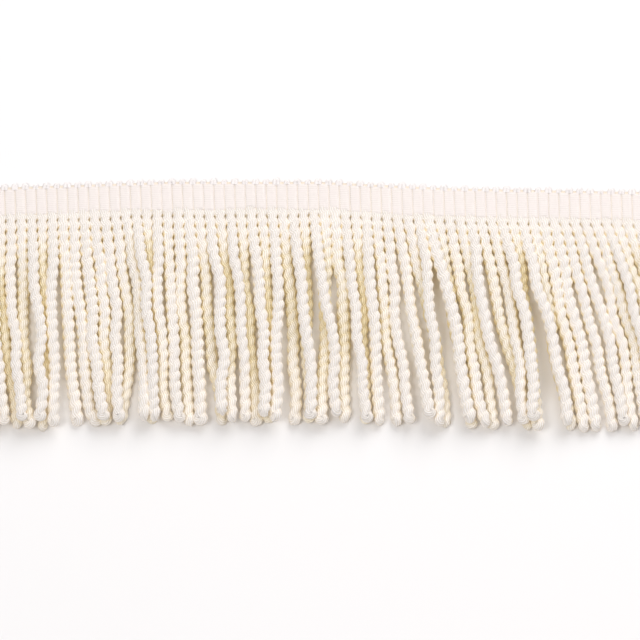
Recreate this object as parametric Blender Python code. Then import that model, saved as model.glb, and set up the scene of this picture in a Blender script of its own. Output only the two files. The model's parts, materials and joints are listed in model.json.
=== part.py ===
# Bullion fringe: a cut length of woven heading with one twisted cord hanging from each of its ribs, laid flat.
#
# The heading runs along X with its ribs across it, the cords lie towards -Y, and +Z is up from the surface.
# The whole length rests on z = 0. Lengths are in metres.

import math
from collections import namedtuple

import bmesh
import bpy
import numpy as np

MM = 0.001

# The cut length
CORD_COUNT = 67
RIB_PITCH = 3.15 * MM
LEFT_END = -110.5 * MM
HEADING_TOP_Y = 40.0 * MM

# The woven heading
HEADING_HEIGHT = 10.6 * MM
WEB_THICKNESS = 1.15 * MM
RIB_THICKNESS = 1.6 * MM
RIB_SHOULDER = 0.2
PLACES_TO_A_RIB = 3
TURN_ROUND_SMALL = 0.35 * MM
TURN_ROUND_LARGE = 0.7 * MM

# The strip that holds the roots of the cords
PARTING = 0.3 * MM
STRIP_HEIGHT = 1.1 * MM
STRIP_THICKNESS = 1.6 * MM
ROOT_WIDTH = 2.3 * MM

# The cords
CORD_RADIUS = 1.76 * MM
WAIST_RADIUS = 1.15 * MM
CORD_LENGTH = 68.6 * MM
LENGTH_SPREAD = 0.8 * MM
STATIONS = 18
STATION_STEP = 3.85 * MM
TIP_SCALE = 0.6
SHORTEST_END_STEP = 0.35

# How the cords settle on the surface and on each other
SETTLE_STEPS = 360
SETTLE_SEED = 11
SINKING_SHARE = 0.8
SINK = 0.012 * MM
PUSH = 0.35
SIDEWAYS_SHARE = 0.6
UPWARD_SHARE = 1.3
CLEARANCE = 1.02
LEADER_HOLD = 0.22
FOLLOWER_HOLD = 0.12
LEADER_RISE = 1.1 * MM
FOLLOWER_RISE = 0.4 * MM
RISEN_SHARE = 0.25
STIFFNESS = 0.25
END_STIFFNESS = 0.3
TINY = 1e-9

# How the cords wander: where their middle is, how far the cords between the leading ones stray, and their waves
MIDDLE_SHARE = 0.58
MIDDLE_SPREAD = 1.3 * MM
END_SPREAD = 1.95 * MM
WAVINESS = 0.4 * MM
FEWEST_WAVES = 1.4
MOST_WAVES = 3.0
STRAIGHT_SHARE = 0.4
PARTING_FLARE = 0.6
PARTING_REACH = 2.2 * RIB_PITCH

# How much of its full radius a cord has at its first stations below the heading
ROOT_GROWTH = (0.7, 0.8, 0.92)

# How the upper edge bows along the length: the place along X and the offset in Y, both in millimetres
Bow = namedtuple("Bow", "x offset")
BOW = (
    Bow(-111.0, -2.3),
    Bow(-96.0, -1.9),
    Bow(-45.0, 0.0),
    Bow(0.0, 0.0),
    Bow(39.0, -2.1),
    Bow(84.0, -3.1),
    Bow(102.0, -3.4),
)

# The locks of the fringe, in millimetres: where the lock's leading cord leaves the heading, how far it has
# swayed to the right at its middle and at its end, and how high it starts above the others
Lock = namedtuple("Lock", "x sway_mid sway_end rise")
LOCKS = (
    Lock(-111.6, 4.2, 9.0, 0.4),
    Lock(-105.0, 3.6, 8.1, 1.6),
    Lock(-98.7, 2.7, 6.6, 0.6),
    Lock(-92.1, 1.5, 3.0, 1.0),
    Lock(-88.8, 1.5, 2.1, 0.2),
    Lock(-85.5, 4.5, 5.7, 2.6),
    Lock(-82.5, -1.2, -1.5, 0.0),
    Lock(-79.2, 1.8, 3.9, 1.8),
    Lock(-75.9, 2.4, 4.8, 1.0),
    Lock(-72.6, 3.0, 6.9, 0.8),
    Lock(-69.6, 3.9, 7.8, 2.4),
    Lock(-63.3, 4.8, 5.1, 3.0),
    Lock(-59.7, 5.1, 5.7, 1.0),
    Lock(-56.4, 5.7, 7.5, 1.6),
    Lock(-50.1, 1.2, 3.6, 0.0),
    Lock(-46.8, 0.9, 3.6, 2.8),
    Lock(-43.5, 2.1, 3.3, 1.0),
    Lock(-40.5, 3.0, 5.1, 1.8),
    Lock(-34.2, 4.8, 3.0, 1.4),
    Lock(-27.9, 4.5, 4.2, 3.2),
    Lock(-21.6, 4.5, 5.4, 1.8),
    Lock(-15.0, 2.1, 3.0, 2.0),
    Lock(-12.0, 2.4, 0.6, 0.0),
    Lock(-9.0, 6.3, 8.1, 3.0),
    Lock(-5.7, -0.6, 0.3, 0.4),
    Lock(-2.7, 7.2, 9.3, 3.8),
    Lock(0.6, 0.3, -0.3, 1.0),
    Lock(6.9, 4.2, 5.4, 1.6),
    Lock(13.2, 1.8, 3.9, 2.2),
    Lock(19.5, 2.7, 6.0, 0.8),
    Lock(22.8, 4.2, 9.3, 2.6),
    Lock(25.8, 10.5, 14.7, 1.6),
    Lock(28.8, 3.3, 3.6, 2.2),
    Lock(32.1, 8.7, 13.2, 3.4),
    Lock(38.4, 6.6, 9.0, 0.2),
    Lock(44.7, 5.1, 12.9, 3.8),
    Lock(50.7, 6.3, 9.9, 1.2),
    Lock(53.7, 11.1, 10.8, 3.8),
    Lock(57.0, 3.9, 7.8, 1.0),
    Lock(60.0, 8.7, 12.6, 0.8),
    Lock(66.3, 6.3, 11.4, 2.4),
    Lock(69.3, 6.9, 13.5, 1.4),
    Lock(72.3, 8.1, 13.2, 0.2),
    Lock(75.6, 9.9, 13.2, 3.0),
    Lock(80.4, 11.1, 13.2, 2.4),
    Lock(85.2, 10.8, 16.5, 1.6),
    Lock(90.0, 11.4, 16.8, 3.0),
    Lock(99.0, 9.0, 15.0, 0.6),
)

# Where the ends part, in millimetres: the middle of the gap at the ends, half its width, and the share of the
# depth at which it opens
Parting = namedtuple("Parting", "x half_width opens_at")
PARTINGS = (
    Parting(-91.5, 1.0, 0.72),
    Parting(-73.6, 0.8, 0.7),
    Parting(-56.1, 0.9, 0.6),
    Parting(-46.5, 1.0, 0.78),
    Parting(-33.6, 1.1, 0.72),
    Parting(-9.0, 1.9, 0.6),
    Parting(3.9, 1.4, 0.62),
    Parting(9.0, 1.3, 0.6),
    Parting(47.4, 1.0, 0.7),
    Parting(68.1, 2.2, 0.62),
    Parting(84.6, 0.9, 0.8),
)

# Cords whose looped end has turned up to one side: where the cord leaves the heading, and how far the end turns
Curl = namedtuple("Curl", "x sideways")
CURLS = (
    Curl(-75.6, 2.6),
    Curl(55.2, 2.8),
)
CURL_STATIONS = 2

IVORY = (0.87, 0.80, 0.69, 1.0)
CREAM = (0.85, 0.77, 0.64, 1.0)
YARN_ROUGHNESS = 0.85


def column(table, name):
    """One named column of a table in millimetres, as an array in metres."""
    return MM * np.array([getattr(row, name) for row in table])


def bow_offset(x):
    """How far the upper edge has moved in Y at this place along the heading."""
    return np.interp(x, column(BOW, "x"), column(BOW, "offset"))


def cord_roots():
    """Where each cord leaves the heading, along X."""
    return LEFT_END + RIB_PITCH * (np.arange(CORD_COUNT) + 0.5)


def nearest_cords(roots, table):
    """The numbers of the cords that leave the heading nearest to each row's place."""
    return [int(np.argmin(abs(roots - x))) for x in column(table, "x")]


def swayed_routes(roots, share, rng):
    """Where each cord would lie along X at each share of the depth, before the cords press on each other."""
    middle = np.interp(roots, column(LOCKS, "x"), column(LOCKS, "sway_mid"))
    end = np.interp(roots, column(LOCKS, "x"), column(LOCKS, "sway_end"))
    follows = np.ones(len(roots))
    follows[nearest_cords(roots, LOCKS)] = 0.0
    middle += follows * rng.normal(0.0, MIDDLE_SPREAD, len(roots))
    end += follows * rng.normal(0.0, END_SPREAD, len(roots))
    bend = (MIDDLE_SHARE * end - middle) / (MIDDLE_SHARE - MIDDLE_SHARE**2)
    sway = np.outer(end - bend, share) + np.outer(bend, share**2)
    turns = rng.uniform(FEWEST_WAVES, MOST_WAVES, len(roots))
    phase = rng.uniform(0.0, 2.0 * math.pi, len(roots))
    wave = np.sin(2.0 * math.pi * np.outer(turns, share) + phase[:, None])
    route = roots[:, None] + sway + WAVINESS * wave * np.minimum(1.0, share / STRAIGHT_SHARE)
    for parting in PARTINGS:
        opened = np.clip((share - parting.opens_at) / (1.0 - parting.opens_at), 0.0, 1.0) ** PARTING_FLARE
        away = route - parting.x * MM
        reach = np.exp(-((away / PARTING_REACH) ** 2))
        route += np.sign(away) * parting.half_width * MM * reach * opened
    return route


def smoothed(values, amount):
    """Each cord's stations drawn towards the middle of their neighbours, as the cord's stiffness does."""
    bent = values.copy()
    bent[:, 1:-1] += amount * (0.5 * (values[:, :-2] + values[:, 2:]) - values[:, 1:-1])
    bent[:, -1] += END_STIFFNESS * amount * (2.0 * values[:, -2] - values[:, -3] - values[:, -1])
    return bent


def settle_cords():
    """The X and Z of every cord at every station, once the cords lie on the surface and on each other."""
    rng = np.random.default_rng(SETTLE_SEED)
    roots = cord_roots()
    share = np.linspace(0.0, 1.0, STATIONS + 1)
    growth = np.ones(STATIONS + 1)
    growth[: len(ROOT_GROWTH)] = ROOT_GROWTH
    apart = 2.0 * CORD_RADIUS * CLEARANCE * growth
    lowest = CORD_RADIUS * growth
    route = swayed_routes(roots, share, rng)
    leaders = nearest_cords(roots, LOCKS)
    rise = rng.uniform(0.0, FOLLOWER_RISE, len(roots))
    rise[leaders] = LEADER_RISE + column(LOCKS, "rise")
    hold = np.full((len(roots), 1), FOLLOWER_HOLD)
    hold[leaders] = LEADER_HOLD
    x = route.copy()
    z = lowest[None, :] + np.outer(rise, np.minimum(1.0, share / RISEN_SHARE))
    for step in range(SETTLE_STEPS):
        sinking = step <= SINKING_SHARE * SETTLE_STEPS
        across = x[:, None, :] - x[None, :, :]
        up = z[:, None, :] - z[None, :, :]
        distance = np.sqrt(across**2 + up**2) + TINY
        push = PUSH * np.clip(apart - distance, 0.0, None) / distance
        x += SIDEWAYS_SHARE * (push * across).sum(axis=1)
        z += UPWARD_SHARE * (push * up).sum(axis=1)
        if sinking:
            x += hold * (route - x)
            z -= SINK
        x = smoothed(x, STIFFNESS)
        z = smoothed(z, STIFFNESS)
        z = np.maximum(z, lowest)
        x[:, 0] = roots
        z[:, 0] = 0.5 * STRIP_THICKNESS
    return x, z


def cord_paths():
    """The points of each cord's middle line, from its root to its looped end, one array for each cord."""
    rng = np.random.default_rng(SETTLE_SEED + 1)
    x, z = settle_cords()
    roots = cord_roots()
    root_y = HEADING_TOP_Y - HEADING_HEIGHT - PARTING - STRIP_HEIGHT
    depth = STATION_STEP * np.arange(STATIONS + 1)
    y = root_y + bow_offset(roots)[:, None] - depth[None, :]
    turn = np.linspace(0.0, 1.0, CURL_STATIONS + 1)[1:]
    for cord, curl in zip(nearest_cords(roots, CURLS), CURLS):
        x[cord, -CURL_STATIONS:] += curl.sideways * MM * turn
    lengths = CORD_LENGTH + rng.uniform(-LENGTH_SPREAD, LENGTH_SPREAD, CORD_COUNT)
    paths = []
    for cord in range(CORD_COUNT):
        points = np.column_stack((x[cord], y[cord], z[cord]))
        run = np.linalg.norm(np.diff(points, axis=0), axis=1)
        travelled = np.concatenate(([0.0], np.cumsum(run)))
        wanted = min(lengths[cord] - STRIP_HEIGHT - PARTING, travelled[-1])
        end = np.array([np.interp(wanted, travelled, points[:, axis]) for axis in range(3)])
        kept = travelled < wanted - SHORTEST_END_STEP * STATION_STEP
        paths.append(np.vstack((points[kept], end)))
    return paths


def material(name, colour):
    """A matt yarn finish."""
    finish = bpy.data.materials.new(name)
    finish.use_nodes = True
    shader = finish.node_tree.nodes["Principled BSDF"]
    shader.inputs["Base Color"].default_value = colour
    shader.inputs["Roughness"].default_value = YARN_ROUGHNESS
    shader.inputs["Metallic"].default_value = 0.0
    return finish


def band_grid(bm, lefts, thickness):
    """A flat band one row deep with a column between each two places along X, closed to the given thickness.

    Returns the vertices at its top, in columns from left to right, lower edge first."""
    columns = len(lefts) - 1
    bmesh.ops.create_grid(bm, x_segments=columns, y_segments=1, size=0.5)

    def by_column(vert):
        return (round((vert.co.x + 0.5) * columns), vert.co.y)

    top = sorted(bm.verts, key=by_column)
    below = bmesh.ops.extrude_face_region(bm, geom=bm.faces[:])
    floor_verts = sorted((item for item in below["geom"] if isinstance(item, bmesh.types.BMVert)), key=by_column)
    for index, (high, low) in enumerate(zip(top, floor_verts)):
        high.co.x = low.co.x = lefts[index // 2]
        high.co.z = thickness
        low.co.z = 0.0
    return [(top[i], top[i + 1], floor_verts[i], floor_verts[i + 1]) for i in range(0, len(top), 2)]


def finish_object(bm, name, collection, finish):
    """The named object of a finished mesh, with its faces pointing out."""
    bmesh.ops.recalc_face_normals(bm, faces=bm.faces[:])
    if bm.calc_volume(signed=True) < 0.0:
        bmesh.ops.reverse_faces(bm, faces=bm.faces[:])
    mesh = bpy.data.meshes.new(name)
    bm.to_mesh(mesh)
    bm.free()
    mesh.materials.append(finish)
    part = bpy.data.objects.new(name, mesh)
    collection.objects.link(part)
    return part


def add_heading(collection):
    """The woven band: a flat underside, a raised rib for each cord and the weft's turns along its upper edge."""
    bm = bmesh.new()
    places = [LEFT_END]
    for rib in range(CORD_COUNT):
        left = LEFT_END + rib * RIB_PITCH
        places += [left + RIB_SHOULDER * RIB_PITCH, left + (1.0 - RIB_SHOULDER) * RIB_PITCH, left + RIB_PITCH]
    rows = band_grid(bm, places, WEB_THICKNESS)
    for index, (low_edge, high_edge, low_floor, high_floor) in enumerate(rows):
        x = places[index]
        bow = bow_offset(x)
        on_rib = index % PLACES_TO_A_RIB != 0
        rib = (index - 1) // PLACES_TO_A_RIB
        turn_round = TURN_ROUND_LARGE if rib % 2 else TURN_ROUND_SMALL
        upper_y = HEADING_TOP_Y - TURN_ROUND_LARGE + bow + (turn_round if on_rib else 0.0)
        lower_y = HEADING_TOP_Y - HEADING_HEIGHT + bow
        low_edge.co.y = low_floor.co.y = lower_y
        high_edge.co.y = high_floor.co.y = upper_y
        if on_rib:
            low_edge.co.z = high_edge.co.z = RIB_THICKNESS
    return finish_object(bm, "heading", collection, material("heading_weave", IVORY))


def root_faces(bm, strip_rows):
    """The faces on the lower side of the strip that the cords grow from, from left to right."""
    faces = []
    for left, right in zip(strip_rows[1::2], strip_rows[2::2]):
        corners = {left[0], left[2], right[0], right[2]}
        faces += [face for face in left[0].link_faces if set(face.verts) == corners]
    return faces


def ring_points(centre, growth, turned):
    """The four outer points of a two-ply cord where its plies lie side by side, or one over the other."""
    wide, narrow = CORD_RADIUS * growth, WAIST_RADIUS * growth
    across, up = (narrow, wide) if turned else (wide, narrow)
    x, y, z = centre
    return [(x + across, y, z), (x, y, z + up), (x - across, y, z), (x, y, z - up)]


def grow_cord(bm, root, path, turned_first):
    """Grows one cord from its root face, a ring at each point of its path, with its two plies winding round it.

    The diagonal of each side runs with the twist, so the wide points of the rings join into the two plies."""
    middle = root.calc_center_median()
    corners = sorted(root.verts, key=lambda vert: math.atan2(vert.co.z - middle.z, vert.co.x - middle.x))
    ring = [corners[2], corners[3], corners[0], corners[1]]
    face = root
    for station, centre in enumerate(path[1:], start=1):
        growth = ROOT_GROWTH[station] if station < len(ROOT_GROWTH) else 1.0
        if station == len(path) - 1:
            growth = TIP_SCALE
        face = bmesh.ops.extrude_discrete_faces(bm, faces=[face])["faces"][0]
        new_ring = [min(face.verts, key=lambda vert: (vert.co - old.co).length) for old in ring]
        turned = (station % 2 == 0) == turned_first
        for vert, place in zip(new_ring, ring_points(centre, growth, turned)):
            vert.co = place
        for side in range(4):
            start, finish = ring[side], new_ring[(side + 1) % 4]
            (wall,) = [item for item in start.link_faces if finish in item.verts]
            bmesh.utils.face_split(wall, start, finish)
        ring = new_ring


def add_cord_skirt(collection):
    """The row of cords, fused at their roots to the narrow strip along the heading's lower edge."""
    bm = bmesh.new()
    roots = cord_roots()
    places = [LEFT_END]
    for x in roots:
        places += [x - 0.5 * ROOT_WIDTH, x + 0.5 * ROOT_WIDTH]
    places.append(LEFT_END + CORD_COUNT * RIB_PITCH)
    rows = band_grid(bm, places, STRIP_THICKNESS)
    for x, (low_edge, high_edge, low_floor, high_floor) in zip(places, rows):
        upper_y = HEADING_TOP_Y - HEADING_HEIGHT - PARTING + bow_offset(x)
        high_edge.co.y = high_floor.co.y = upper_y
        low_edge.co.y = low_floor.co.y = upper_y - STRIP_HEIGHT
    for cord, (root, path) in enumerate(zip(root_faces(bm, rows), cord_paths())):
        grow_cord(bm, root, path, turned_first=cord % 2 == 0)
    return finish_object(bm, "cord_skirt", collection, material("bullion_yarn", CREAM))


def centre_over_origin(parts):
    """Moves the fringe along the surface until the middle of its outline lies over the origin."""
    corners = np.array([vert.co[:2] for part in parts for vert in part.data.vertices])
    middle = 0.5 * (corners.min(axis=0) + corners.max(axis=0))
    for part in parts:
        part.location.x, part.location.y = -middle


def main():
    for old in list(bpy.data.objects):
        bpy.data.objects.remove(old, do_unlink=True)
    collection = bpy.data.collections.new("bullion_fringe")
    bpy.context.scene.collection.children.link(collection)
    centre_over_origin([add_heading(collection), add_cord_skirt(collection)])


main()
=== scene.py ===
# %% [markdown]
# # Bullion fringe, laid flat
#
# A bullion fringe is a woven heading with a row of thick twisted cords hanging from it. The weaver lets the weft
# run far out past the last warp thread and gives it so much twist that it doubles back on itself, so each cord is
# one strand that goes down, turns in a small loop and comes back up, winding round itself all the way.
#
# The solid model already says where every cord lies. This script reads that, and builds the yarn on it.

import json
import math

import bmesh
import bpy
import numpy as np
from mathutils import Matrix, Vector

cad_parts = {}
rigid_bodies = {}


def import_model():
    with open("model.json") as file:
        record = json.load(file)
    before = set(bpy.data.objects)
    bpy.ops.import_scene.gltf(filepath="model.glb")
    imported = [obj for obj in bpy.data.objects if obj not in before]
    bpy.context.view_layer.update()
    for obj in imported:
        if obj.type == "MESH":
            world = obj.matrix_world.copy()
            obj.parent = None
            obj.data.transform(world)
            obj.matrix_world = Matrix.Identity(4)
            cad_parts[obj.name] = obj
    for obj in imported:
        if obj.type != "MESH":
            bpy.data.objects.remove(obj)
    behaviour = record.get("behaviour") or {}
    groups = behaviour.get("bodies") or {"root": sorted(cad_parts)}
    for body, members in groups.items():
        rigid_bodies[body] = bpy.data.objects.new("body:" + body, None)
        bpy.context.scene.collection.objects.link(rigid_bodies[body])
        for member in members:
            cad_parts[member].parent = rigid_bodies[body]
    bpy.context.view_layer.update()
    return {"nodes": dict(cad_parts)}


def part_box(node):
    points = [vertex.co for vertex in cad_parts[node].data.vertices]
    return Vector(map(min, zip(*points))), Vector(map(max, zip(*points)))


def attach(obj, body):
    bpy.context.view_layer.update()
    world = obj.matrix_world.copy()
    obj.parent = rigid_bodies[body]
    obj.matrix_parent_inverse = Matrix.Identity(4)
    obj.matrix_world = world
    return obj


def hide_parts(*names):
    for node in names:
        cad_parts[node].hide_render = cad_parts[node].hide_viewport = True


for old in list(bpy.data.objects):
    bpy.data.objects.remove(old, do_unlink=True)
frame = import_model()
MM = 0.001
SEED = 7
rng = np.random.default_rng(SEED)

# %% [markdown]
# ## Where the cords lie
#
# In the solid model a cord is a chain of four-cornered rings below the strip that holds the roots. A copy of that
# mesh is merged, everything at the strip is left aside, and each island that remains is one cord. The corners of a
# ring share one place along Y, so the middle of the corners is a point on the cord's middle line.
#
# Tracing the lines again by hand would give cords that nearly fit. Reading them makes the yarn fit exactly.

# %% The heading's edge and ribs
MERGE = 0.001 * MM
SOLID_STEPS_IN_RIB = 3


def merged_copy(node):
    """A bmesh of a solid's mesh with its loose triangles joined."""
    bm = bmesh.new()
    bm.from_mesh(frame["nodes"][node].data)
    bmesh.ops.remove_doubles(bm, verts=bm.verts[:], dist=MERGE)
    return bm


def heading_edges():
    """Places along the heading with its lower edge there, from the solid."""
    bm = merged_copy("heading")
    lowest = {}
    for vert in bm.verts:
        x = round(vert.co.x / MM, 3)
        lowest[x] = min(lowest.get(x, vert.co.y), vert.co.y)
    bm.free()
    places = sorted(lowest)
    return MM * np.array(places), np.array([lowest[x] for x in places])


heading_x, heading_low_y = heading_edges()
heading_low, heading_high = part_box("heading")
rib_count = round((len(heading_x) - 1) / SOLID_STEPS_IN_RIB)
rib_pitch = (heading_high.x - heading_low.x) / rib_count
rib_middles = heading_low.x + rib_pitch * (np.arange(rib_count) + 0.5)
print(rib_count, "ribs,", round(rib_pitch / MM, 2), "mm apart")

# %% Middle lines of the cords
STRIP_DEPTH = 2.5 * MM
ROOT_STEP = 3.85 * MM
ROOT_HEIGHT = 0.8 * MM


def islands(bm):
    """The groups of joined vertices of a bmesh."""
    left, groups = set(bm.verts), []
    while left:
        waiting, group = [left.pop()], []
        while waiting:
            vert = waiting.pop()
            group.append(vert)
            for edge in vert.link_edges:
                other = edge.other_vert(vert)
                if other in left:
                    left.remove(other)
                    waiting.append(other)
        groups.append(group)
    return groups


def cord_lines():
    """The points of each cord's middle line, from its root at the heading's lower edge to its end."""
    bm = merged_copy("cord_skirt")
    edge_there = np.interp([vert.co.x for vert in bm.verts], heading_x, heading_low_y)
    strip = [vert for vert, low in zip(bm.verts, edge_there) if vert.co.y > low - STRIP_DEPTH]
    bmesh.ops.delete(bm, geom=strip, context="VERTS")
    lines = []
    for group in islands(bm):
        rings = {}
        for vert in group:
            rings.setdefault(round(vert.co.y / MM, 2), []).append(vert.co)
        lines.append([np.mean(rings[y], axis=0) for y in sorted(rings, reverse=True)])
    bm.free()
    lines.sort(key=lambda line: line[0][0])
    rooted = []
    for x, line in zip(rib_middles, lines):
        root = np.array((x, line[0][1] + ROOT_STEP, ROOT_HEIGHT))
        rooted.append(np.vstack((root, line)))
    return rooted


cords = cord_lines()
print(len(cords), "cords of", min(map(len, cords)), "to", max(map(len, cords)), "points")

# %% [markdown]
# ## The strand
#
# The strand of a cord could be modelled as a curve with a bevel, but such a tube has one section all along. Here a
# flat grid is rolled up instead. Its columns run along the strand, and each of its points can be placed freely, so
# that the strand can be pressed, narrowed and uneven. The seam is welded and the two cut ends are closed.
#
# All cords share this one grid: it is appended once for each cord, and only the places of its points differ.

# %% One strand as a rolled grid
COLUMNS = 14
RINGS_DOWN = 192
RINGS_ROUND_LOOP = 10
RINGS = 2 * RINGS_DOWN + RINGS_ROUND_LOOP


def grid_order(columns, rows):
    """A key that numbers the points of a new grid one metre wide, row by row from the corner at the lower left."""
    return lambda vert: round((vert.co.y + 0.5) * rows) * (columns + 1) + round((vert.co.x + 0.5) * columns)


def rolled_grid(columns, rings, name):
    """A mesh of a grid whose two long sides will meet: rings of points from start to end, with a UV map."""
    bm = bmesh.new()
    bm.loops.layers.uv.new("yarn")
    bmesh.ops.create_grid(bm, x_segments=columns, y_segments=rings - 1, size=0.5, calc_uvs=True)
    bm.verts.sort(key=grid_order(columns, rings - 1))
    mesh = bpy.data.meshes.new(name)
    bm.to_mesh(mesh)
    bm.free()
    return mesh


strand_mesh = rolled_grid(COLUMNS, RINGS, "strand")
print("one strand:", len(strand_mesh.vertices), "points,", 2 * len(strand_mesh.polygons), "triangles")

# %% [markdown]
# ## The way the strand winds
#
# Two windings of one strand lie opposite each other on a helix. Seen from above they cross from upper right to
# lower left, while the yarns inside, which are twisted the other way, run steeply from upper left to lower right.
# At the end of the cord the strand turns over in a half circle. The section is a rounded oval, flattened where the
# windings press on each other.
#
# A spin or a screw could make one even winding, but each of these follows its own bent line, and no two are alike.
# So every ring of the strand is placed by its turn and its distance along the cord, with a little chance. In the
# sizes below, SECTION_OUT and SECTION_ROUND are half the section's width, away from the cord's middle and round it.

# %% Sizes of the winding
WINDING_RADIUS = 0.34 * MM
SECTION_OUT = 1.54 * MM
SECTION_ROUND = 1.40 * MM
SECTION_AT_LOOP = 1.36 * MM
LAY_LENGTH = 6.84 * MM
FIRST_TURN = 1.075
YARN_TURN = 1.22 / MM
START_INSIDE = 2.6 * MM
LOOP_OPENS = 3.0 * MM
LOOP_WIDER = 1.25
ROOT_NARROW = 0.95
NARROW_UNTIL = 9.0 * MM
ROOT_FLAT = 0.40
FLAT_UNTIL = 5.0 * MM
LINE_STEPS = 600

# %% What chance does to a cord
SIZE_SPREAD = 0.035
LAY_SPREAD = 0.04
TURN_SPREAD = 0.22
LAY_DRIFT = 0.6
LAY_BUMPS = 8
LAY_DRIFTS_FROM = (0.0, 15.0 * MM)
WANDER_ACROSS = 0.60 * MM
WANDER_UP = 0.22 * MM
WANDER_BUMPS = 7
FREE_FROM = (4.0 * MM, 20.0 * MM)
UNEVEN = 0.07 * MM
UNEVEN_BUMPS = 40
RAGGED_LOOP = 3.0


# %% Smooth lines, directions and noise
def through(points, where):
    """Places on a smooth line through points. A place is counted in points, so 2.5 is halfway from 2 to 3."""
    before = np.clip(np.floor(where).astype(int), 0, len(points) - 2)
    t = (where - before)[:, None]
    ends = 2.0 * points[0] - points[1], 2.0 * points[-1] - points[-2]
    padded = np.vstack((ends[0], points, ends[1]))
    a, b, c, d = (padded[before + k] for k in range(4))
    return 0.5 * (2 * b + (c - a) * t + (2 * a - 5 * b + 4 * c - d) * t**2 + (3 * b - a - 3 * c + d) * t**3)


def unit(vectors):
    """The same directions with a length of one."""
    return vectors / np.linalg.norm(vectors, axis=-1, keepdims=True)


def eased(values, start, end):
    """Runs smoothly from 0 at start to 1 at end."""
    t = np.clip((values - start) / (end - start), 0.0, 1.0)
    return t * t * (3.0 - 2.0 * t)


def between(share, low, high):
    """From low to high as the share goes from 0 to 1, for arrays here and for a material's masks later."""
    return low + (high - low) * share


def slow_noise(count, bumps):
    """A smooth random line of about this many bumps, between -1 and 1."""
    knots = rng.uniform(-1.0, 1.0, (bumps + 2, 1))
    return through(knots, np.linspace(0.0, bumps + 1.0, count))[:, 0]


def turns_round(columns):
    """The angles of a ring's columns, evenly once round."""
    return 2.0 * math.pi * np.arange(columns) / columns


def ring_offsets(first_reach, first_way, second_reach, second_way):
    """How far each column is from its ring's middle: reaches by ring and column along two ways of each ring."""
    return first_reach[:, :, None] * first_way[:, None, :] + second_reach[:, :, None] * second_way[:, None, :]


# %% The line of one cord
def fine_line(line):
    """The line in fine steps, and how far along it each of them is."""
    fine = through(line, np.linspace(0.0, len(line) - 1.0, LINE_STEPS))
    return fine, np.concatenate(([0.0], np.cumsum(np.linalg.norm(np.diff(fine, axis=0), axis=1))))


def cord_middle(line, travelled, down):
    """The middle of the cord at each ring: straight inside the heading, and wandering where it is free."""
    centre = np.column_stack([np.interp(down, travelled, line[:, axis]) for axis in range(3)])
    centre[:, 1] += np.clip(-down, 0.0, None)
    free = eased(down, *FREE_FROM)
    centre[:, 0] += WANDER_ACROSS * free * slow_noise(RINGS_DOWN, WANDER_BUMPS)
    centre[:, 2] += WANDER_UP * free * slow_noise(RINGS_DOWN, WANDER_BUMPS)
    return centre


def winding_ways(centre, turn):
    """At each ring, the way along the cord, the way out to the strand and the way round the cord."""
    along = unit(np.gradient(centre, axis=0))
    across = unit(np.array((1.0, 0.0, 0.0)) - along[:, :1] * along)
    up = np.cross(along, across)

    def at(angle):
        return np.cos(angle)[:, None] * across + np.sin(angle)[:, None] * up

    return along, at(turn), at(turn + 0.5 * math.pi)


def winding_sizes(down, size):
    """At each ring, the radius of the winding, the strand's reach outwards and round, and how flat it lies."""
    narrow = between(eased(down, 0.0, NARROW_UNTIL), ROOT_NARROW, 1.0)
    at_loop = eased(down, down[-1] - LOOP_OPENS, down[-1])
    radius = WINDING_RADIUS * size * narrow * between(at_loop, 1.0, LOOP_WIDER)
    out_half = SECTION_OUT * size * narrow
    round_half = between(at_loop, SECTION_ROUND, SECTION_AT_LOOP) * size * narrow
    flat = between(eased(down, -START_INSIDE, FLAT_UNTIL), ROOT_FLAT, 1.0)
    return radius, out_half, round_half, flat


# %% The strand of one cord
def there_and_back(values):
    """The values of the way down, the last of them held round the loop, and all of them back up."""
    return np.concatenate((values, np.repeat(values[-1:], RINGS_ROUND_LOOP, axis=0), values[::-1]))


def uneven_yarn():
    """How much each column strays at each ring, most at the loop, where the yarn is looser."""
    from_loop = np.abs(np.arange(RINGS) - 0.5 * RINGS)
    ragged = 1.0 + RAGGED_LOOP * (1.0 - eased(from_loop, 0.0, RINGS_ROUND_LOOP))
    return UNEVEN * ragged[:, None] * np.column_stack([slow_noise(RINGS, UNEVEN_BUMPS) for _ in range(COLUMNS)])


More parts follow.
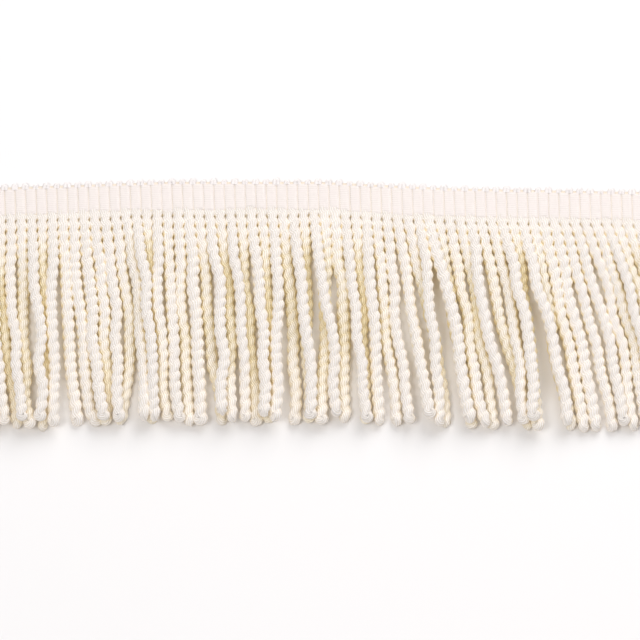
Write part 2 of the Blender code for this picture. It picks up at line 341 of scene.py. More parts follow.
def strand_points(line):
    """Where each ring and column of the grid goes for one cord, as an array of rings, columns and XYZ."""
    fine, travelled = fine_line(line)
    size = rng.normal(1.0, SIZE_SPREAD)
    loop_at = travelled[-1] - (WINDING_RADIUS * LOOP_WIDER + SECTION_OUT)
    down = np.linspace(-START_INSIDE, loop_at, RINGS_DOWN)
    lay = LAY_LENGTH * rng.normal(1.0, LAY_SPREAD)
    turn = 2.0 * math.pi * down / lay + FIRST_TURN + rng.normal(0.0, TURN_SPREAD)
    turn += LAY_DRIFT * slow_noise(RINGS_DOWN, LAY_BUMPS) * eased(down, *LAY_DRIFTS_FROM)
    centre = cord_middle(fine, travelled, down)
    along, out, side = winding_ways(centre, turn)
    radius, out_half, round_half, flat = winding_sizes(down, size)

    loop_turn = np.linspace(0.0, math.pi, RINGS_ROUND_LOOP + 2)[1:-1]
    loop_out = np.cos(loop_turn)[:, None] * out[-1] + np.sin(loop_turn)[:, None] * along[-1]
    outs = np.concatenate((out, loop_out, -out[::-1]))
    back = 2.0 * down[-1] + math.pi * radius[-1] - down
    run = np.concatenate((down, down[-1] + radius[-1] * loop_turn, back[::-1]))

    turned = turns_round(COLUMNS) - YARN_TURN * run[:, None]
    uneven = uneven_yarn()
    reach_out = (there_and_back(out_half)[:, None] + uneven) * np.cos(turned)
    reach_round = (there_and_back(round_half)[:, None] + uneven) * np.sin(turned)
    offset = ring_offsets(there_and_back(radius)[:, None] + reach_out, outs, reach_round, there_and_back(side))
    offset[:, :, 2] *= there_and_back(flat)[:, None]
    points = there_and_back(centre)[:, None, :] + offset
    points[:, :, 2] = np.maximum(points[:, :, 2], 0.0)
    return points


trial = strand_points(cords[0])
print("a trial winding of the first cord:", trial.shape, "and up to", round(trial[:, :, 2].max() / MM, 2), "mm high")

# %% [markdown]
# ## How much sky a point sees
#
# The places that see little of the sky get painted shade in their colour: darker, creamier and golden, standing in
# for the shade there and for light that passes through ivory yarn and comes out golden.
# A shader node for ambient occlusion would show where they are, but the exported model would lose it. So it is
# worked out once, from a map of how high the skirt reaches. Every point looks in twelve directions for the highest
# thing near it, and every crown looks for cords beside it that lie higher. Both measures stay in the mesh.

# %% Hidden sky, from a map of heights
MAP_STEP = 0.3 * MM
MAP_MARGIN = 9.0 * MM
SKY_DIRECTIONS = 12
NEAR_REACHES = (1.0 * MM, 1.6 * MM, 2.4 * MM, 3.8 * MM, 6.0 * MM)
WIDE_REACHES = (2.4 * MM, 3.4 * MM, 4.6 * MM, 6.0 * MM)
CROWN = 1.5 * MM


def skirt_top(shapes):
    """A map of how high the cords reach at each place on the surface, and its lower left corner."""
    points = np.concatenate([shape.reshape(-1, 3) for shape in shapes])
    low = points[:, :2].min(axis=0) - MAP_MARGIN
    size = np.ceil((points[:, :2].max(axis=0) + MAP_MARGIN - low) / MAP_STEP).astype(int) + 1
    heights = np.zeros(size)
    cells = ((points[:, :2] - low) / MAP_STEP).astype(int)
    np.maximum.at(heights, (cells[:, 0], cells[:, 1]), points[:, 2])
    for axis in (0, 1):
        heights = np.maximum(heights, np.maximum(np.roll(heights, 1, axis), np.roll(heights, -1, axis)))
    return low, heights


def hidden_sky(points, reaches, low, heights):
    """How much of the sky each point doesn't see, from 0 in the open to 1 under everything."""
    def height_at(places):
        cells = np.clip(((places - low) / MAP_STEP).astype(int), 0, np.array(heights.shape) - 1)
        return heights[cells[:, 0], cells[:, 1]]

    hidden = np.zeros(len(points))
    for turn in turns_round(SKY_DIRECTIONS):
        horizon = np.zeros(len(points))
        for reach in reaches:
            rise = height_at(points[:, :2] + reach * np.array((math.cos(turn), math.sin(turn)))) - points[:, 2]
            horizon = np.maximum(horizon, rise / np.hypot(rise, reach))
        hidden += horizon / SKY_DIRECTIONS
    return hidden


def sheltered(shape):
    """How far higher neighbours hide the crown of a cord, the same for all points of a ring."""
    crowns = shape.mean(axis=1) + np.array((0.0, 0.0, CROWN))
    return np.repeat(hidden_sky(crowns, WIDE_REACHES, *skirt_heights)[:, None], shape.shape[1], axis=1)


strands = [strand_points(line) for line in cords]
skirt_heights = skirt_top(strands)
shelters = np.concatenate([sheltered(shape)[:, 0] for shape in strands])
print("shelter from neighbours:", np.percentile(shelters, (5, 25, 50, 75, 95)).round(2))

# %% [markdown]
# ## The skirt of cords
#
# The cords are joined a row at a time into four pieces, because one piece for every cord would be slow to bake and
# one piece for all would be too heavy for a single file. Each point carries its two measures of hidden sky and its
# cord's own tone, a small number that the material uses to make some cords a little creamier than others.

# %% Four rows of cords
CORDS_IN_ROW = 17
WELD = 0.0005 * MM


def appended(template, copies):
    """A new mesh with this many copies of the template, one after the other."""
    bm = bmesh.new()
    for _ in range(copies):
        bm.from_mesh(template)
    mesh = bpy.data.meshes.new(template.name)
    bm.to_mesh(mesh)
    bm.free()
    return mesh


def closed_rings(values):
    """The first column again at the end of each ring, for the seam, and all in one row."""
    return np.concatenate((values, values[:, :1]), axis=1).reshape(-1, *values.shape[2:])


def linked_piece(name, mesh):
    """An object for a finished mesh, at the origin and in the scene."""
    piece = bpy.data.objects.new(name, mesh)
    bpy.context.scene.collection.objects.link(piece)
    return piece


def rolled_piece(name, template, shapes, tones):
    """One object from many rolled grids: the seams welded, the open ends closed and the faces pointing out."""
    mesh = appended(template, len(shapes))
    points = np.concatenate([closed_rings(shape) for shape in shapes])
    mesh.vertices.foreach_set("co", points.ravel())
    measured = {
        "tone": np.repeat(tones, len(template.vertices)),
        "hidden_sky": hidden_sky(points, NEAR_REACHES, *skirt_heights),
        "sheltered": np.concatenate([closed_rings(sheltered(shape)) for shape in shapes]),
    }
    for attribute, values in measured.items():
        mesh.attributes.new(attribute, "FLOAT", "POINT").data.foreach_set("value", values)
    bm = bmesh.new()
    bm.from_mesh(mesh)
    bmesh.ops.remove_doubles(bm, verts=bm.verts[:], dist=WELD)
    bmesh.ops.holes_fill(bm, edges=[edge for edge in bm.edges if edge.is_boundary], sides=0)
    bmesh.ops.recalc_face_normals(bm, faces=bm.faces[:])
    for face in bm.faces:
        face.smooth = True
    bm.to_mesh(mesh)
    bm.free()
    mesh.name = name
    return linked_piece(name, mesh)


def triangles(piece):
    """How many triangles a piece comes to."""
    return sum(len(face.vertices) - 2 for face in piece.data.polygons)


tones = rng.uniform(0.0, 1.0, len(cords))
skirt = []
for first in range(0, len(cords), CORDS_IN_ROW):
    row = slice(first, first + CORDS_IN_ROW)
    skirt.append(rolled_piece(f"bullion_cords_{len(skirt) + 1}", strand_mesh, strands[row], tones[row]))
for piece in skirt:
    print(piece.name, triangles(piece), "triangles")

# %% [markdown]
# ## The woven heading
#
# The heading is woven with fine warp threads that run its whole length and a thick weft that crosses them once for
# each cord, so it looks ribbed. Where the cords begin each rib slopes down in a soft tongue, and along the upper
# edge the weave steps down to a ledge, on which the weft turns round.
#
# A plain slab with a picture of ribs would have no shadows in its grooves. Here a grid has ten columns to a rib and
# two rows to a warp thread, so that ribs and threads are both in its shape. The grid is then extruded down to a
# second face, which is the underside.

# %% Sizes of the weave
STRIP_COVERED = 1.25 * MM
HEADING_DEPTH = 11.1 * MM
WARP_THREADS = 18
THREAD_RELIEF = 0.03 * MM
RIB_PLACES = np.array((0.0, 0.05, 0.12, 0.26, 0.42, 0.58, 0.7, 0.80, 0.89, 0.95))
RIB_HEIGHTS = np.array((1.05, 1.28, 1.39, 1.46, 1.53, 1.59, 1.62, 1.55, 1.43, 1.25)) * MM
RIB_SPREAD = 0.03 * MM
UNDERSIDE = np.array((0.30, 0.16, 0.08, 0.02, 0.0, 0.0, 0.0, 0.04, 0.1, 0.18)) * MM
THINNEST = 0.15 * MM
LEAN = -0.055
LEAN_AT_ENDS = (1.0, 0.2)
HEADING_COLUMNS = rib_count * len(RIB_PLACES)
HEADING_ROWS = 2 * WARP_THREADS

# %% Sizes of its two edges
SLIT_DEPTH = 0.75 * MM
SLIT_LENGTH = 1.7 * MM
TONGUE_DROP = 1.1 * MM
TONGUE_FROM = -0.2 * MM
TONGUE_LENGTH = 1.5 * MM
TONGUE_ROUND = 0.6 * MM
TONGUE_SPREAD = 0.25 * MM
EDGE_SCALLOP = -0.3 * MM
EDGE_ROLL = 0.3 * MM
EDGE_DROP = 0.6
EDGE_LIFT = 0.2 * MM
LEDGE = 1.0 * MM
LEDGE_STEP = (LEDGE - 0.15 * MM, LEDGE + 0.25 * MM)
LEDGE_DROP = 0.45


# %% Ribs and warp threads
def lower_edge(x):
    """Where the weave begins, a little below the solid heading's edge, so that it covers the strip of the roots."""
    return np.interp(x, heading_x, heading_low_y) - STRIP_COVERED


def heading_points():
    """The upper and lower points of the heading, row by row from its lower edge."""
    column = np.arange(HEADING_COLUMNS + 1)
    rib, place = column // len(RIB_PLACES), column % len(RIB_PLACES)
    x = heading_low.x + (rib + RIB_PLACES[place]) * rib_pitch
    low_y = lower_edge(x)
    scallop = np.sqrt(np.clip(1.0 - (2.0 * RIB_PLACES[place] - 1.0) ** 2, 0.0, 1.0))
    high_y = low_y + HEADING_DEPTH + scallop * EDGE_SCALLOP
    y = low_y + (high_y - low_y) * np.linspace(0.0, 1.0, HEADING_ROWS + 1)[:, None]
    above = y - low_y
    below = high_y - y
    thread = THREAD_RELIEF * np.where(np.arange(HEADING_ROWS + 1) % 2 == 1, 1.0, -1.0)[:, None]
    uneven = rng.normal(0.0, RIB_SPREAD, rib_count + 1)[rib]
    slit = SLIT_DEPTH * (place == 0) * (1.0 - eased(above, 0.0, SLIT_LENGTH))
    meets = rng.normal(0.0, TONGUE_SPREAD, rib_count + 1)[rib] + TONGUE_ROUND * scallop
    tongue = TONGUE_DROP * (1.0 - eased(above - meets, TONGUE_FROM, TONGUE_LENGTH))
    roll = 1.0 - EDGE_DROP * (1.0 - np.clip(below / EDGE_ROLL, 0.0, 1.0)) ** 2
    ledge = 1.0 - LEDGE_DROP * (1.0 - eased(below, *LEDGE_STEP))
    bottom = UNDERSIDE[place] + EDGE_LIFT * (1.0 - roll)
    top = np.maximum((RIB_HEIGHTS[place] + thread + uneven) * roll * ledge - slit - tongue, bottom + THINNEST)
    leaning = x + LEAN * above * np.linspace(*LEAN_AT_ENDS, HEADING_COLUMNS + 1)
    upper = np.stack((leaning, y, top), axis=-1).reshape(-1, 3)
    lower = np.stack((leaning, y, np.broadcast_to(bottom, top.shape)), axis=-1).reshape(-1, 3)
    return upper, lower


def first_and_last(face):
    """A key that numbers faces by their vertices, because an extrusion makes its walls in no fixed order."""
    numbers = [vert.index for vert in face.verts]
    return min(numbers) * 2 * (HEADING_COLUMNS + 1) * (HEADING_ROWS + 1) + max(numbers)


def woven_sheet():
    """The heading's mesh: a grid, extruded to an underside, with its points moved into the weave."""
    bm = bmesh.new()
    bm.loops.layers.uv.new("weave")
    bmesh.ops.create_grid(bm, x_segments=HEADING_COLUMNS, y_segments=HEADING_ROWS, size=0.5, calc_uvs=True)
    in_order = grid_order(HEADING_COLUMNS, HEADING_ROWS)
    tops = sorted(bm.verts, key=in_order)
    extruded = bmesh.ops.extrude_face_region(bm, geom=bm.faces[:])["geom"]
    bottoms = sorted((item for item in extruded if isinstance(item, bmesh.types.BMVert)), key=in_order)
    for verts, points in zip((tops, bottoms), heading_points()):
        for vert, point in zip(verts, points):
            vert.co = point
    bmesh.ops.recalc_face_normals(bm, faces=bm.faces[:])
    for face in bm.faces:
        face.smooth = True
    bm.verts.index_update()
    bm.faces.sort(key=first_and_last)
    mesh = bpy.data.meshes.new("woven_heading")
    bm.to_mesh(mesh)
    bm.free()
    return mesh


heading = linked_piece("woven_heading", woven_sheet())
print("heading:", triangles(heading), "triangles for", WARP_THREADS, "warp threads across", rib_count, "ribs")

# %% [markdown]
# ## Where the weft turns round
#
# The weft goes up one rib, passes round the last warp thread and comes down the next rib, so a small loop stands on
# every boundary between ribs. Every other loop is pulled a little tighter and is smaller. They could be bumps on
# the edge of the sheet, but yarn is round where it turns, and stands free. So each is a short rolled grid, bent a
# little past a half circle, with its feet in the ledge.

# %% Turn-rounds along the upper edge
TURN_HALF_SPAN = 0.52 * MM
TURN_YARN = 0.64 * MM
TURN_RISE = 0.92 * MM
TURN_HEIGHT = 1.0 * MM
TURN_LIFT = 0.15 * MM
TURN_BEND = (-0.2, 1.2)
SPAN_SPREAD = 0.08
RISE_SPREAD = 0.10
LIFT_SPREAD = 0.5
SMALL_TURNS = (0.75, 1.0)
TURN_COLUMNS = 10
TURN_RINGS = 19
TURN_PLIES = 3.0
PLY_RELIEF = 0.06


def turn_round(x, scale):
    """The points of one small loop of weft over the upper edge."""
    leaning = LEAN * HEADING_DEPTH * np.interp(x, (heading_low.x, heading_high.x), LEAN_AT_ENDS)
    foot = np.array((x + leaning, lower_edge(x) + HEADING_DEPTH - LEDGE, TURN_HEIGHT))
    bend = np.linspace(*TURN_BEND, TURN_RINGS)[:, None] * math.pi
    wide = TURN_HALF_SPAN * scale * rng.normal(1.0, SPAN_SPREAD)
    tall = TURN_RISE * scale * rng.normal(1.0, RISE_SPREAD)
    lift = TURN_LIFT * rng.normal(1.0, LIFT_SPREAD) * np.sin(bend)
    spine = foot + np.hstack((wide * np.cos(bend), tall * np.sin(bend), lift))
    along = unit(np.gradient(spine, axis=0))
    sideways = unit(np.cross(along, (0.0, 0.0, 1.0)))
    column = turns_round(TURN_COLUMNS)
    section = TURN_YARN * scale * (1.0 + PLY_RELIEF * np.cos(TURN_PLIES * column + TURN_PLIES * bend))
    return spine[:, None, :] + ring_offsets(section * np.cos(column), sideways,
                                            section * np.sin(column), np.cross(sideways, along))


turn_shapes = []
for boundary in range(1, rib_count):
    scale = 1.0 if boundary % 2 else rng.uniform(*SMALL_TURNS)
    turn_shapes.append(turn_round(heading_low.x + rib_pitch * boundary, scale))
turns = rolled_piece("weft_turns", rolled_grid(TURN_COLUMNS, TURN_RINGS, "turn"), turn_shapes,
                     rng.uniform(0.0, 1.0, len(turn_shapes)))
print(len(turn_shapes), "turn-rounds,", triangles(turns), "triangles")

# %% [markdown]
# ## Loose fibres
#
# Spun yarn is never quite smooth: short fibres stand off it and soften its outline, most of all at the looped ends.
# Particle hair would not be exported, so each fibre is a very thin rolled grid that leaves the yarn at a slant and
# bends over.

# %% Loose fibres on the cords
FIBRES = 2600
FIBRE_COLUMNS = 3
FIBRE_RINGS = 5
FIBRE_THICKNESS = 0.022 * MM
FIBRE_TAPER = 0.75
FIBRE_LENGTH = (3.0, 0.42 * MM)
FIBRE_SLANT = (0.42, 0.9)
FIBRE_DRIFT = 0.45
FIBRE_LOWEST = 0.05 * MM
OFF_THE_TOP = 0.7
AT_THE_LOOPS = 0.45
RINGS_OF_ROOT = 12
RINGS_NEAR_LOOP = 6
NO_FIBRE_WAY = (0.3, 0.2, 0.9)


def fibre(strand):
    """The points of one fibre that stands off somewhere on this strand."""
    ring = rng.integers(RINGS_OF_ROOT, RINGS - RINGS_OF_ROOT)
    if rng.random() < AT_THE_LOOPS:
        ring = rng.integers(RINGS_DOWN - RINGS_NEAR_LOOP, RINGS_DOWN + RINGS_ROUND_LOOP + RINGS_NEAR_LOOP)
    column = rng.integers(0, COLUMNS)
    foot = strand[ring, column]
    out = unit(foot - strand[ring].mean(axis=0))
    out[2] = abs(out[2]) * OFF_THE_TOP
    along = unit(strand[ring + 1, column] - foot)
    length = rng.gamma(*FIBRE_LENGTH)
    drift = rng.normal(0.0, FIBRE_DRIFT, 3)
    t = np.linspace(0.0, 1.0, FIBRE_RINGS)[:, None]
    stands, runs = FIBRE_SLANT
    spine = foot + length * (stands * out * np.sin(0.5 * math.pi * t) + runs * along * t + drift * t * t)
    spine[:, 2] = np.maximum(spine[:, 2], FIBRE_LOWEST)
    direction = unit(np.gradient(spine, axis=0))
    sideways = unit(np.cross(direction, NO_FIBRE_WAY))
    column_turn = turns_round(FIBRE_COLUMNS)
    radius = FIBRE_THICKNESS * (1.0 - FIBRE_TAPER * t)
    return spine[:, None, :] + ring_offsets(radius * np.cos(column_turn), sideways,
                                            radius * np.sin(column_turn), np.cross(direction, sideways))


fibre_shapes = [fibre(strands[rng.integers(0, len(strands))]) for _ in range(FIBRES)]
fibres = rolled_piece("loose_fibres", rolled_grid(FIBRE_COLUMNS, FIBRE_RINGS, "fibre"), fibre_shapes,
                      rng.uniform(0.0, 1.0, FIBRES))
print(FIBRES, "fibres,", triangles(fibres), "triangles")

# %% [markdown]
# ## Materials as sums
#
# A material is a graph of nodes, but most of it is arithmetic, and a page of nodes and links would hide that. The
# class below wraps one output of a node, so that a mask can be written as `1 - noise * 0.5`, and the second class
# holds the material that is being built.


# %% A wire that can be used like a number
class Wire:
    """One output of a node, which can be added, subtracted, multiplied and raised like a number."""

    def __init__(self, finish, socket):
        self.finish, self.socket = finish, socket

    def joined(self, operation, left, right):
        return self.finish.node("ShaderNodeMath", {"operation": operation}, {0: left, 1: right})

    def __add__(self, other):
        return self.joined("ADD", self, other)

    __radd__ = __add__

    def __sub__(self, other):
        return self.joined("SUBTRACT", self, other)

    def __rsub__(self, other):
        return self.joined("SUBTRACT", other, self)

    def __mul__(self, other):
        return self.joined("MULTIPLY", self, other)

    __rmul__ = __mul__

    def __pow__(self, other):
        return self.joined("POWER", self, other)


# %% A material under construction
OBJECT_PLACE = 3
ATTRIBUTE_NUMBER = 2
FIRST_COLOUR = 6
SECOND_COLOUR = 7
MIXED_COLOUR = 2


class Finish:
    """A material under construction, with its Principled shader."""

    def __init__(self, name, **constants):
        self.material = bpy.data.materials.new(name)
        self.material.use_nodes = True
        self.tree = self.material.node_tree
        self.shader = self.tree.nodes["Principled BSDF"]
        for socket, value in constants.items():
            self.shader.inputs[socket.replace("_", " ")].default_value = value

    def node(self, kind, settings=None, sockets=None, output=0):
        """Adds a node: first its settings, then the values or links of its sockets. Gives one of its outputs."""
        made = self.tree.nodes.new(kind)
        for name, value in (settings or {}).items():
            setattr(made, name, value)
        for name, value in (sockets or {}).items():
            if isinstance(value, Wire):
                self.tree.links.new(value.socket, made.inputs[name])
            else:
                made.inputs[name].default_value = value
        return Wire(self, made.outputs[output])

    def place(self):
        """Where a point is on its piece."""
        return self.node("ShaderNodeTexCoord", output=OBJECT_PLACE)

    def map_place(self, name):
        """Where a point is on a UV map: across the piece and along it."""
        return self.node("ShaderNodeUVMap", {"uv_map": name})

    def axis(self, vector, number):
        """One of the three numbers of a vector."""
        return self.node("ShaderNodeSeparateXYZ", {}, {0: vector}, output=number)

    def measured(self, attribute):
        """A number that the mesh carries at each point."""
        return self.node("ShaderNodeAttribute", {"attribute_name": attribute}, output=ATTRIBUTE_NUMBER)

    def mix(self, share, first, second):
        """A colour between two colours."""
        sockets = {"Factor": share, FIRST_COLOUR: first, SECOND_COLOUR: second}
        return self.node("ShaderNodeMix", {"data_type": "RGBA"}, sockets, output=MIXED_COLOUR)

    def stretched(self, coordinates, scale):
        """Coordinates stretched along each axis."""
        return self.node("ShaderNodeMapping", {}, {"Vector": coordinates, "Scale": scale})

    def noise(self, coordinates, scale, detail=2.0):
        """A soft noise between 0 and 1."""
        return self.node("ShaderNodeTexNoise", {}, {"Vector": coordinates, "Scale": scale, "Detail": detail})

    def spread(self, value, low, high):
        """The value as a share of the way from low to high, kept between 0 and 1."""
        return self.node("ShaderNodeMapRange", {"interpolation_type": "SMOOTHSTEP"},
                         {"Value": value, "From Min": low, "From Max": high})

    def zigzag(self, value):
        """0 at every whole number and 1 halfway between two of them."""
        return self.node("ShaderNodeMath", {"operation": "PINGPONG"}, {0: value, 1: 0.5}) * 2.0

    def size_of(self, value):
        """The value without its sign."""
        return self.node("ShaderNodeMath", {"operation": "ABSOLUTE"}, {0: value})

    def surface(self, name, wire):
        """Feeds one socket of the shader."""
        self.tree.links.new(wire.socket, self.shader.inputs[name])

    def bump(self, height, distance, strength=1.0):
        """Feeds a height into the shader's normal."""
        self.surface("Normal", self.node("ShaderNodeBump", {},
                                         {"Height": height, "Distance": distance, "Strength": strength}))


def dressed(pieces, material):
    """Gives the pieces their one material."""
    for piece in pieces:
        piece.data.materials.append(material)
    print(material.name, "has", len(material.node_tree.nodes), "nodes")


# %% [markdown]
# ## Ivory yarn
#
# The yarn is a matt, slightly fuzzy ivory. Its upper crowns look almost white. A cord that lies below the cords
# beside it gets a creamier, darker painted shade, and the deep places between cords get a golden painted shade. Both
# stand in for the shade there and for light that has come through yarn. Real scattering inside the strands would be
# slow and noisy. So the two measures of hidden sky paint this shade into the colour, and a weak painted glow stands
# for the light that comes through: a cream one in half shade and a golden one in the deep. The grooves between the
# threads are painted darker as well, most on the cords in shade. The painted shade and the golden glow fade towards
# the looped ends, which lie in the open.
#
# The fine threads follow each strand, so they are drawn on its own UV map, which runs along it.

# %% The colours of the yarn
WHITE_IVORY = (0.81, 0.765, 0.755, 1.0)
CREAM_IVORY = (0.805, 0.748, 0.712, 1.0)
# Painted shade: for cords under their neighbours, for the deep places and for the thread grooves.
PAINTED_SHADE_IVORY = (0.76, 0.69, 0.57, 1.0)
GOLDEN_PAINTED_SHADE = (0.75, 0.64, 0.40, 1.0)
THREAD_SHADE = (0.72, 0.62, 0.44, 1.0)
# Painted glow, as if light came through the yarn.
NO_GLOW = (0.0, 0.0, 0.0, 1.0)
SOFT_GLOW = (0.120, 0.104, 0.080, 1.0)
DEEP_GLOW = (0.128, 0.099, 0.047, 1.0)
MATT_YARN = {"Roughness": 0.8, "Sheen_Weight": 0.15, "Sheen_Roughness": 0.5}

# %% Where its painted shade and painted glow begin and end
PAINTED_SHADE_FROM = (0.10, 0.70)
GOLDEN_SHADE_FROM = (0.45, 0.88)
SOFT_GLOW_FROM = (0.10, 0.50)
DEEP_GLOW_FROM = (0.48, 0.92)
INSIDE_FROM = (0.0, 0.45)
TINT_AT_LOOPS = 0.35

# %% Its threads and its grain
THREADS = 12
THREAD_DEPTH = 0.20 * MM
THREAD_WOBBLE = 0.25
THREAD_SHADING = (0.5, 0.9)
THREAD_STRENGTH = (0.8, 1.6)
FIBRE_STRENGTH = 0.2
WOBBLE_GRAIN = (6.0, 90.0, 1.0)
FIBRE_GRAIN = (200.0, 120.0, 1.0)
PATCH_GRAIN = 160.0
CREAM_BY_CORD = 0.3
CREAM_BY_PATCH = 0.3
CREAM_BY_FIBRE = 0.4
YARN_ROUGHNESS = (0.7, 0.9)


# %% The finish of the cords
def cord_finish():
    """Matt twisted ivory yarn."""
    yarn = Finish("ivory_bullion_yarn", **MATT_YARN, Emission_Strength=1.0)
    uv = yarn.map_place("yarn")
    wobble = yarn.noise(yarn.stretched(uv, WOBBLE_GRAIN), 1.0, 1.0)
    groove = yarn.zigzag(yarn.axis(uv, 0) * THREADS + THREAD_WOBBLE * wobble) ** 2.0
    fine = yarn.noise(yarn.stretched(uv, FIBRE_GRAIN), 1.0, 3.0)
    patches = yarn.noise(yarn.place(), PATCH_GRAIN)

    from_loop = yarn.size_of(2.0 * yarn.axis(uv, 1) - 1.0)
    inside = between(yarn.spread(from_loop, *INSIDE_FROM), TINT_AT_LOOPS, 1.0)
    painted_shade = yarn.spread(yarn.measured("sheltered"), *PAINTED_SHADE_FROM) * inside
    deep = yarn.measured("hidden_sky")

    cream = CREAM_BY_CORD * yarn.measured("tone") + CREAM_BY_PATCH * patches + CREAM_BY_FIBRE * fine
    colour = yarn.mix(cream, WHITE_IVORY, CREAM_IVORY)
    # Painted shade: cords that lie below their neighbours are darker and creamier.
    colour = yarn.mix(painted_shade, colour, PAINTED_SHADE_IVORY)
    # Painted shade in the grooves between the threads, stronger on cords in shade.
    colour = yarn.mix(between(painted_shade, *THREAD_SHADING) * groove, colour, THREAD_SHADE)
    # Painted shade: golden in the deep places between cords, less towards the looped ends.
    colour = yarn.mix(yarn.spread(deep, *GOLDEN_SHADE_FROM) * inside, colour, GOLDEN_PAINTED_SHADE)
    yarn.surface("Base Color", colour)
    # Painted glow, as if light came through the yarn: cream in half shade, golden in the deep.
    glow = yarn.mix(yarn.spread(deep, *SOFT_GLOW_FROM), NO_GLOW, SOFT_GLOW)
    yarn.surface("Emission Color", yarn.mix(yarn.spread(deep, *DEEP_GLOW_FROM) * inside, glow, DEEP_GLOW))
    yarn.surface("Roughness", between(fine, *YARN_ROUGHNESS))
    yarn.bump((FIBRE_STRENGTH * fine - groove) * between(painted_shade, *THREAD_STRENGTH), THREAD_DEPTH)
    return yarn.material


dressed(skirt, cord_finish())

# %% The finish of the loose fibres
FUZZ_GRAIN = 300.0


def fuzz_finish():
    """The loose fibres, which have no threads of their own."""
    fuzz = Finish("ivory_fuzz", Roughness=0.9)
    fuzz.surface("Base Color", fuzz.mix(fuzz.noise(fuzz.place(), FUZZ_GRAIN), WHITE_IVORY, CREAM_IVORY))
    return fuzz.material


dressed([fibres], fuzz_finish())

# %% [markdown]
# ## The heading's weave
#
# The heading is the same yarn held flat, in the open light. It looks rosier than the cords and nearly even. A golden
# painted shade lies only low in the grooves between the ribs and where the cords begin, with a weak painted glow
# there, and the ledge under the turn-rounds has a darker painted shade between the loops. The warp threads are too
# fine to show by their shape alone, so a groove beside each of them is drawn on the heading's own UV map as well, as
# a bump and as painted shade.

# %% The colours of the heading
ROSE_IVORY = (0.785, 0.717, 0.696, 1.0)
CLEAR_IVORY = (0.803, 0.735, 0.700, 1.0)
# Painted shade for the grooves beside the warp threads and for the ledge between the turn-rounds.
WARP_SHADE = (0.74, 0.65, 0.59, 1.0)
HOLLOW_SHADE = (0.73, 0.65, 0.62, 1.0)
WARP_DEPTH = 0.08 * MM
WARP_SHADING = 0.4
GRAIN_STRENGTH = 0.35
WEFT_GRAIN = (1500.0, 6000.0, 1500.0)
WEAVE_PATCHES = 220.0
WEAVE_ROUGHNESS = (0.72, 0.92)

# %% Where its painted shade and painted glow begin and end
GROOVES_FROM = (0.9 * MM, 1.4 * MM)
GOLDEN_SHADE_SHARES = (0.35, 0.75)
CORDS_FROM = (0.05, 0.25)
LEDGE_FROM = (0.895, 0.94)
LEDGE_UNEVEN = 0.03
LEDGE_SHADING = 0.8
RIB_FROM = (0.1, 0.7)
RIB_SHADING = (0.6, 1.0)


# %% The finish of the heading
def heading_finish():
    """Ribbed ivory weave with its warp threads."""
    weave = Finish("ivory_heading_weave", **MATT_YARN, Emission_Strength=1.0)
    place = weave.place()
    uv = weave.map_place("weave")
    along = weave.axis(uv, 1)
    groove = weave.zigzag(along * WARP_THREADS) ** 4.0
    fine = weave.noise(weave.stretched(place, WEFT_GRAIN), 1.0, 3.0)
    patches = weave.noise(place, WEAVE_PATCHES)
    low = 1.0 - weave.spread(weave.axis(place, 2), *GROOVES_FROM)
    at_cords = 1.0 - weave.spread(along, *CORDS_FROM)
    on_rib = weave.spread(weave.zigzag(weave.axis(uv, 0) * rib_count), *RIB_FROM)
    at_turns = weave.spread(along + LEDGE_UNEVEN * patches, *LEDGE_FROM) * between(on_rib, *RIB_SHADING)

    colour = weave.mix(patches, ROSE_IVORY, CLEAR_IVORY)
    # Painted shade on the ledge between the turn-rounds.
    colour = weave.mix(LEDGE_SHADING * at_turns, colour, HOLLOW_SHADE)
    # Painted shade in the grooves beside the warp threads.
    colour = weave.mix(WARP_SHADING * groove, colour, WARP_SHADE)
    # Golden painted shade low in the rib grooves, near the cords.
    colour = weave.mix(between(at_cords, *GOLDEN_SHADE_SHARES) * low, colour, GOLDEN_PAINTED_SHADE)
    weave.surface("Base Color", colour)
    # Painted glow low in the rib grooves, near the cords.
    weave.surface("Emission Color", weave.mix(low * at_cords, NO_GLOW, DEEP_GLOW))
    weave.surface("Roughness", between(fine, *WEAVE_ROUGHNESS))
    weave.bump(GRAIN_STRENGTH * fine - groove, WARP_DEPTH)
    return weave.material


dressed([heading], heading_finish())

# %% The finish of the turn-rounds
WEFT_THREADS = 8.0
WEFT_TWIST = 4.0
WEFT_SHADING = 0.15
WEFT_STRENGTH = 0.6


def turn_finish():
    """The bare weft where it turns round."""
    weft = Finish("ivory_weft_yarn", **MATT_YARN)
    uv = weft.map_place("yarn")
    groove = weft.zigzag(weft.axis(uv, 0) * WEFT_THREADS + WEFT_TWIST * weft.axis(uv, 1)) ** 2.0
    # Painted shade in the grooves between the plies.
    weft.surface("Base Color", weft.mix(WEFT_SHADING * groove, WHITE_IVORY, WARP_SHADE))
    weft.bump(WEFT_STRENGTH * (1.0 - groove), WARP_DEPTH)
    return weft.material


dressed([turns], turn_finish())

# %% [markdown]
# ## Floor, light and camera
#
# The fringe lies on a plain white surface in soft, bright light, with a white sky all round. The key is a large
# soft light behind it and to the right. A second one stands high at the left front. From straight above it would
# light the floor between the cords, and from there the crowns are lit while the gaps stay in shade.
#
# The camera looks down on it at seventy degrees, through a long lens, so the cords hardly converge.

# %% Floor
FLOOR_SIZE = 6.0
FLOOR_GRAIN = 3.0
FLOOR_SHADING = 0.3
PAPER_WHITE = (0.78, 0.762, 0.762, 1.0)
PAPER_SHADE = (0.771, 0.753, 0.753, 1.0)

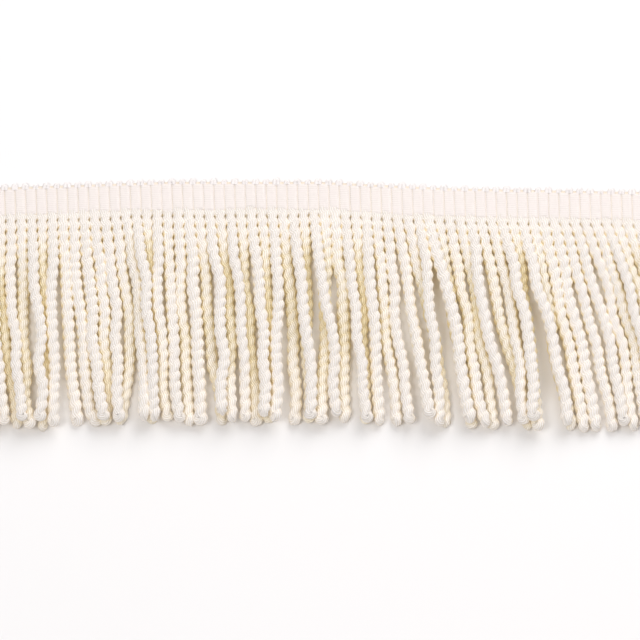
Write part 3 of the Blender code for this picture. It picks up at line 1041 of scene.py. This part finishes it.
bm = bmesh.new()
bmesh.ops.create_grid(bm, x_segments=1, y_segments=1, size=0.5 * FLOOR_SIZE)
floor_mesh = bpy.data.meshes.new("floor")
bm.to_mesh(floor_mesh)
bm.free()
floor = linked_piece("floor", floor_mesh)
paper = Finish("white_paper", Roughness=0.7)
clouds = FLOOR_SHADING * paper.noise(paper.place(), FLOOR_GRAIN)
paper.surface("Base Color", paper.mix(clouds, PAPER_WHITE, PAPER_SHADE))
dressed([floor], paper.material)

# %% Light
SOFT_LIGHT = 0.545
KEY_POWER = 9.3
KEY_SIZE = 1.0
KEY_PLACE = (0.40, 0.65, 0.80)
FILL_POWER = 20.8
FILL_SIZE = 0.7
FILL_PLACE = (-0.80, -0.75, 2.11)
LIGHT_BOUNCES = 12

world = bpy.data.worlds.new("studio")
world.use_nodes = True
world.node_tree.nodes["Background"].inputs["Color"].default_value = (1.0, 1.0, 1.0, 1.0)
world.node_tree.nodes["Background"].inputs["Strength"].default_value = SOFT_LIGHT
bpy.context.scene.world = world
bpy.context.scene.cycles.max_bounces = LIGHT_BOUNCES
bpy.context.scene.cycles.diffuse_bounces = LIGHT_BOUNCES


def aimed(thing, place, target):
    """Puts a lamp or camera at a place, turned so that it looks at the target."""
    thing.location = place
    thing.rotation_euler = (Vector(target) - Vector(place)).to_track_quat("-Z", "Y").to_euler()


def soft_box(name, power, size, place):
    """A square lamp that points at the middle of the fringe."""
    lamp = bpy.data.lights.new(name, "AREA")
    lamp.energy = power
    lamp.size = size
    held = bpy.data.objects.new(name, lamp)
    bpy.context.scene.collection.objects.link(held)
    aimed(held, place, (0.0, 0.0, 0.0))
    print(f"{name}: {power} W, {size} m wide, {Vector(place).length:.2f} m away")


soft_box("key_light", KEY_POWER, KEY_SIZE, KEY_PLACE)
soft_box("fill_light", FILL_POWER, FILL_SIZE, FILL_PLACE)

# %% Camera
VIEW_ELEVATION = math.radians(70.0)
VIEW_WIDTH = 192.0 * MM
LENS = 400.0
SENSOR = 36.0
CLIP_START = 0.01
TARGET = Vector((-2.05 * MM, -4.4 * MM, 0.0))

camera_data = bpy.data.cameras.new("camera")
camera_data.lens = LENS
camera_data.sensor_width = SENSOR
camera_data.clip_start = CLIP_START
camera = bpy.data.objects.new("camera", camera_data)
bpy.context.scene.collection.objects.link(camera)
distance = VIEW_WIDTH * LENS / SENSOR
back = Vector((0.0, -math.cos(VIEW_ELEVATION), math.sin(VIEW_ELEVATION)))
aimed(camera, TARGET + distance * back, TARGET)
bpy.context.scene.camera = camera
bpy.context.scene.view_settings.view_transform = "Standard"
print(f"camera: {distance:.2f} m away, and its picture is {VIEW_WIDTH / MM:.0f} mm wide")

# %% [markdown]
# ## Fixing everything to the model
#
# The fringe has no joints, so every piece rides on its one body, and the solid heading and cords that the pieces
# stand for are hidden.

# %% Each piece on its body, with the solids it stands for hidden
for piece in (heading, turns, fibres, *skirt):
    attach(piece, "root")
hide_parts("heading")
for piece in skirt:
    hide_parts("cord_skirt")
